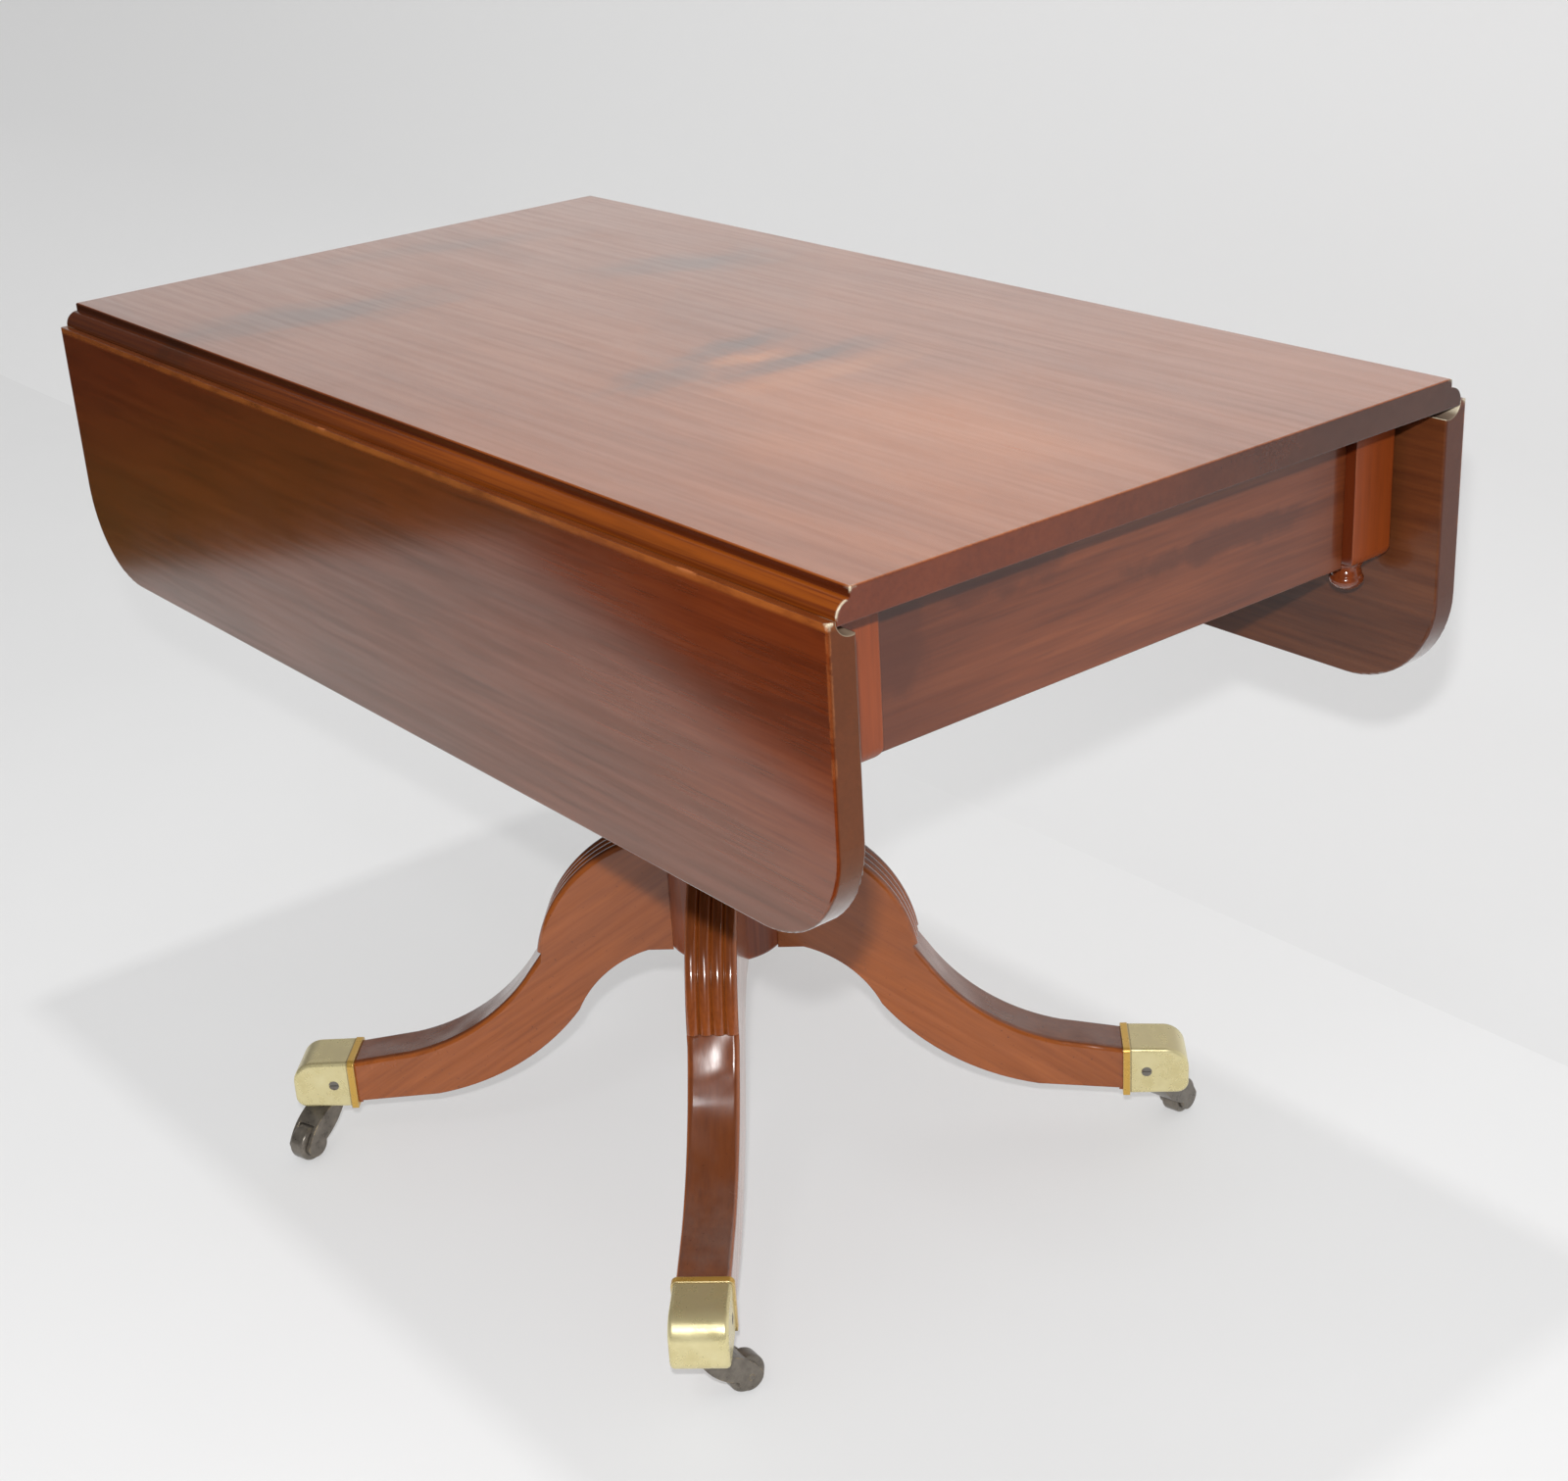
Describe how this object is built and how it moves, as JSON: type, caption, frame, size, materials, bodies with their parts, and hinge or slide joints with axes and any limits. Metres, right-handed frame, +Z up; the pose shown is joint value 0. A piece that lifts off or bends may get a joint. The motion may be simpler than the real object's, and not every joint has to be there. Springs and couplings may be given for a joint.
{
  "type": "pembroke table",
  "caption": "Pembroke table: fixed top with hanging rule-jointed drop leaves on a turned pedestal, reeded sabre legs in brass toe caps, swivel castors.",
  "frame": {"origin": "on the floor under the middle of the top and the column's axis", "axes": "+Z up; X along the hinge lines of the leaves; the near leaf hangs on the -Y side and the far leaf on the +Y side"},
  "size_m": [1.016, 0.6371, 0.72],
  "materials": {
    "top_mahogany": "polished, worn",
    "frame_mahogany": "polished, worn",
    "pedestal_mahogany": "polished, worn",
    "plain_wood": "bare, aged",
    "cap_brass": "aged polish",
    "castor_bronze": "dark, worn",
    "iron": "dull",
    "screw_steel": "dull"
  },
  "bodies": {
    "frame": {"centre_top": "top_mahogany", "front_end_rail": "frame_mahogany", "back_end_rail": "frame_mahogany", "front_post": "frame_mahogany", "right_post": "frame_mahogany", "back_post": "frame_mahogany", "left_post": "frame_mahogany", "front_finial": "frame_mahogany", "right_finial": "frame_mahogany", "back_finial": "frame_mahogany", "left_finial": "frame_mahogany", "column": "pedestal_mahogany", "front_leg": "pedestal_mahogany", "right_leg": "pedestal_mahogany", "back_leg": "pedestal_mahogany", "left_leg": "pedestal_mahogany", "near_side_rail": "plain_wood", "far_side_rail": "plain_wood", "near_fly_rail": "plain_wood", "far_fly_rail": "plain_wood", "front_bearer": "plain_wood", "back_bearer": "plain_wood", "pedestal_block": "plain_wood", "front_toe_cap": "cap_brass", "right_toe_cap": "cap_brass", "back_toe_cap": "cap_brass", "left_toe_cap": "cap_brass", "near_hinge_plates": "iron", "far_hinge_plates": "iron", "near_hinge_pins": "iron", "far_hinge_pins": "iron", "fly_pins": "iron", "spider_plate": "iron", "hinge_plate_screws": "screw_steel", "block_screws": "screw_steel", "spider_screws": "screw_steel", "cap_screws": "screw_steel"},
    "near_leaf": {"near_leaf": "top_mahogany", "near_hinge_straps": "iron", "near_strap_screws": "screw_steel"},
    "far_leaf": {"far_leaf": "top_mahogany", "far_hinge_straps": "iron", "far_strap_screws": "screw_steel"},
    "near_front_fly": {"near_front_fly": "plain_wood"},
    "near_back_fly": {"near_back_fly": "plain_wood"},
    "far_front_fly": {"far_front_fly": "plain_wood"},
    "far_back_fly": {"far_back_fly": "plain_wood"},
    "front_castor": {"front_castor_fork": "castor_bronze", "front_castor_axle": "castor_bronze"},
    "front_wheel": {"front_castor_wheel": "castor_bronze"},
    "right_castor": {"right_castor_fork": "castor_bronze", "right_castor_axle": "castor_bronze"},
    "right_wheel": {"right_castor_wheel": "castor_bronze"},
    "back_castor": {"back_castor_fork": "castor_bronze", "back_castor_axle": "castor_bronze"},
    "back_wheel": {"back_castor_wheel": "castor_bronze"},
    "left_castor": {"left_castor_fork": "castor_bronze", "left_castor_axle": "castor_bronze"},
    "left_wheel": {"left_castor_wheel": "castor_bronze"}
  },
  "joints": [
    {"name": "near_leaf_hinge", "type": "hinge", "parent": "frame", "child": "near_leaf", "pos_m": [0, -0.269, 0.7025], "axis": [-1, 0, 0], "range_deg": [0, 90]},
    {"name": "far_leaf_hinge", "type": "hinge", "parent": "frame", "child": "far_leaf", "pos_m": [0, 0.269, 0.7025], "axis": [1, 0, 0], "range_deg": [0, 90]},
    {"name": "near_front_fly_swing", "type": "hinge", "parent": "frame", "child": "near_front_fly", "pos_m": [0.23478, -0.2465, 0.6534], "axis": [0, 0, -1], "range_deg": [0, 2.5]},
    {"name": "near_back_fly_swing", "type": "hinge", "parent": "frame", "child": "near_back_fly", "pos_m": [-0.23478, -0.2465, 0.6534], "axis": [0, 0, 1], "range_deg": [0, 2.5]},
    {"name": "far_front_fly_swing", "type": "hinge", "parent": "frame", "child": "far_front_fly", "pos_m": [0.23478, 0.2465, 0.6534], "axis": [0, 0, 1], "range_deg": [0, 2.5]},
    {"name": "far_back_fly_swing", "type": "hinge", "parent": "frame", "child": "far_back_fly", "pos_m": [-0.23478, 0.2465, 0.6534], "axis": [0, 0, -1], "range_deg": [0, 2.5]},
    {"name": "front_castor_swivel", "type": "hinge", "parent": "frame", "child": "front_castor", "pos_m": [0.27027, -0.24679, 0.0465], "axis": [0, 0, 1], "continuous": true},
    {"name": "front_wheel_roll", "type": "hinge", "parent": "front_castor", "child": "front_wheel", "pos_m": [0.27315, -0.21392, 0.0155], "axis": [-0.9962, 0.0872, 0], "continuous": true},
    {"name": "right_castor_swivel", "type": "hinge", "parent": "frame", "child": "right_castor", "pos_m": [0.24679, 0.27027, 0.0465], "axis": [0, 0, 1], "continuous": true},
    {"name": "right_wheel_roll", "type": "hinge", "parent": "right_castor", "child": "right_wheel", "pos_m": [0.2405, 0.30267, 0.0155], "axis": [-0.9816, -0.1908, 0], "continuous": true},
    {"name": "back_castor_swivel", "type": "hinge", "parent": "frame", "child": "back_castor", "pos_m": [-0.27027, 0.24679, 0.0465], "axis": [0, 0, 1], "continuous": true},
    {"name": "back_wheel_roll", "type": "hinge", "parent": "back_castor", "child": "back_wheel", "pos_m": [-0.29731, 0.22787, 0.0155], "axis": [0.5736, -0.8192, 0], "continuous": true},
    {"name": "left_castor_swivel", "type": "hinge", "parent": "frame", "child": "left_castor", "pos_m": [-0.24679, -0.27027, 0.0465], "axis": [0, 0, 1], "continuous": true},
    {"name": "left_wheel_roll", "type": "hinge", "parent": "left_castor", "child": "left_wheel", "pos_m": [-0.23715, -0.30183, 0.0155], "axis": [0.9563, 0.2924, 0], "continuous": true}
  ]
}
